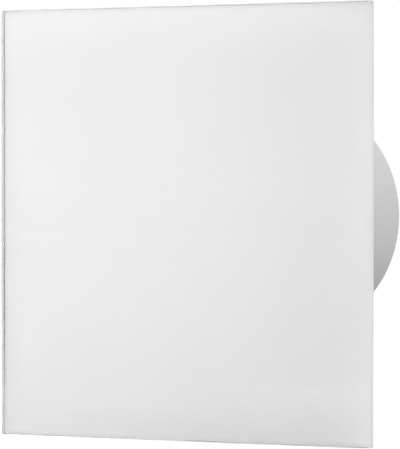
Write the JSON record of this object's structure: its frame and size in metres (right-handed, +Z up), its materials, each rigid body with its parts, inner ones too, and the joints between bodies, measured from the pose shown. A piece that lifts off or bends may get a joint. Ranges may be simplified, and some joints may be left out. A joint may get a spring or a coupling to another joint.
{
  "type": "heat recovery unit",
  "caption": "Through-wall heat recovery unit with a square white glass front on a top hinge, a round duct tube, and a pull-out insert with fan, regenerator core and louvre shutter.",
  "frame": {"origin": "on the duct axis, in the plane of the wall surface that the base lies on", "axes": "+Y runs into the wall along the duct axis, +Z is up, and the glass front faces -Y"},
  "size_m": [0.18, 0.098, 0.18],
  "materials": {
    "panel_glass": "clear toughened glass, polished edges",
    "white_film": "white backing seen through the glass",
    "foam_tape": "closed-cell adhesive foam",
    "white_plastic": "fine satin moulding",
    "grey_plastic": "smooth extruded light grey",
    "dark_plastic": "glass-filled black moulding",
    "ivory_plastic": "natural nylon",
    "orange_plastic": "satin moulding",
    "blue_plastic": "moulded component body",
    "soft_rubber": "matt elastomer",
    "seal_foam": "open-cell foam",
    "filter_fleece": "coarse non-woven fleece",
    "honeycomb_ceramic": "unglazed extruded ceramic",
    "zinc_steel": "zinc plated",
    "grey_pvc": "soft PVC sheath",
    "brown_pvc": "soft PVC insulation",
    "magnet_black": "bonded ferrite",
    "copper_wire": "enamelled copper wire",
    "brass_metal": "bright brass",
    "circuit_board": "green solder mask"
  },
  "bodies": {
    "base": {"base_housing": "white_plastic", "duct_tube": "grey_plastic", "tube_screws": "zinc_steel", "wall_seal": "seal_foam", "hinge_pins": "zinc_steel", "catch_clips": "brass_metal", "rear_grille": "grey_plastic", "fan_socket": "ivory_plastic", "fan_leads": "grey_pvc", "control_board": "circuit_board", "power_module": "dark_plastic", "relay": "blue_plastic", "capacitors": "blue_plastic", "controller_chip": "dark_plastic", "trimmer_bodies": "blue_plastic", "mode_switch_body": "dark_plastic", "button_switch": "dark_plastic", "humidity_sensor": "white_plastic", "electronics_cover": "grey_plastic", "small_screws": "zinc_steel", "terminal_block": "ivory_plastic", "terminal_screws": "zinc_steel", "supply_leads": "brown_pvc", "cable_clamp": "white_plastic", "cable_grommet": "soft_rubber"},
    "front_panel": {"glass_panel": "panel_glass", "backing_film": "white_film", "bonding_tape": "foam_tape", "panel_carrier": "white_plastic", "catch_studs": "dark_plastic", "panel_bumpers": "soft_rubber"},
    "insert": {"cartridge_sleeve": "white_plastic", "shutter_frame": "white_plastic", "filter_frame": "grey_plastic", "front_filter": "filter_fleece", "fan_frame": "dark_plastic", "motor_stator": "zinc_steel", "motor_coils": "copper_wire", "motor_board": "circuit_board", "motor_bearings": "zinc_steel", "regenerator_core": "honeycomb_ceramic", "core_wrap": "seal_foam", "insect_screen": "zinc_steel", "fan_plug": "dark_plastic", "plug_pins": "brass_metal", "pull_tab": "orange_plastic"},
    "rotor": {"impeller": "dark_plastic", "rotor_yoke": "zinc_steel", "rotor_magnet": "magnet_black", "motor_shaft": "zinc_steel"},
    "slat_1": {"slat_1": "white_plastic"},
    "slat_2": {"slat_2": "white_plastic"},
    "slat_3": {"slat_3": "white_plastic"},
    "slat_4": {"slat_4": "white_plastic"},
    "slat_5": {"slat_5": "white_plastic"},
    "link_bar": {"link_bar": "zinc_steel"},
    "timer_knob": {"timer_knob": "brass_metal"},
    "humidity_knob": {"humidity_knob": "brass_metal"},
    "mode_slider": {"mode_slider": "white_plastic"},
    "pair_button": {"pair_button": "grey_plastic"}
  },
  "joints": [
    {"name": "panel_open", "type": "hinge", "parent": "base", "child": "front_panel", "pos_m": [0, -0.02, 0.071], "axis": [-1, 0, 0], "range_deg": [0, 90]},
    {"name": "insert_pull", "type": "slide", "parent": "base", "child": "insert", "axis": [0, -1, 0], "range_m": [0, 0.036]},
    {"name": "fan_spin", "type": "hinge", "parent": "insert", "child": "rotor", "pos_m": [0, 0.012, 0], "axis": [0, 1, 0], "continuous": true},
    {"name": "shutter_open", "type": "hinge", "parent": "insert", "child": "slat_3", "pos_m": [0, -0.0075, 0], "axis": [-1, 0, 0], "range_deg": [0, 80]},
    {"name": "slat_1_turn", "type": "hinge", "parent": "insert", "child": "slat_1", "pos_m": [0, -0.0075, -0.0232], "axis": [-1, 0, 0], "range_deg": [0, 80]},
    {"name": "slat_2_turn", "type": "hinge", "parent": "insert", "child": "slat_2", "pos_m": [0, -0.0075, -0.0116], "axis": [-1, 0, 0], "range_deg": [0, 80]},
    {"name": "slat_4_turn", "type": "hinge", "parent": "insert", "child": "slat_4", "pos_m": [0, -0.0075, 0.0116], "axis": [-1, 0, 0], "range_deg": [0, 80]},
    {"name": "slat_5_turn", "type": "hinge", "parent": "insert", "child": "slat_5", "pos_m": [0, -0.0075, 0.0232], "axis": [-1, 0, 0], "range_deg": [0, 80]},
    {"name": "link_bar_pin", "type": "hinge", "parent": "slat_3", "child": "link_bar", "pos_m": [0.0321, -0.0035, 0], "axis": [1, 0, 0], "range_deg": [0, 80]},
    {"name": "timer_turn", "type": "hinge", "parent": "base", "child": "timer_knob", "pos_m": [-0.004, -0.013, -0.0636], "axis": [0, -1, 0], "range_deg": [-135, 135]},
    {"name": "humidity_turn", "type": "hinge", "parent": "base", "child": "humidity_knob", "pos_m": [0.005, -0.013, -0.0636], "axis": [0, -1, 0], "range_deg": [-135, 135]},
    {"name": "mode_slide", "type": "slide", "parent": "base", "child": "mode_slider", "axis": [1, 0, 0], "range_m": [-0.002, 0.002]},
    {"name": "pair_press", "type": "slide", "parent": "base", "child": "pair_button", "axis": [0, 1, 0], "range_m": [0, 0.0008], "stiffness_N_per_m": 500, "springref_m": -0.0004}
  ],
  "couplings": [
    {"joint": "insert_pull", "follows": "panel_open", "m_per_rad": 0.0229},
    {"joint": "link_bar_pin", "follows": "shutter_open", "ratio": 1},
    {"joint": "slat_1_turn", "follows": "shutter_open", "ratio": 1},
    {"joint": "slat_2_turn", "follows": "shutter_open", "ratio": 1},
    {"joint": "slat_4_turn", "follows": "shutter_open", "ratio": 1},
    {"joint": "slat_5_turn", "follows": "shutter_open", "ratio": 1}
  ]
}
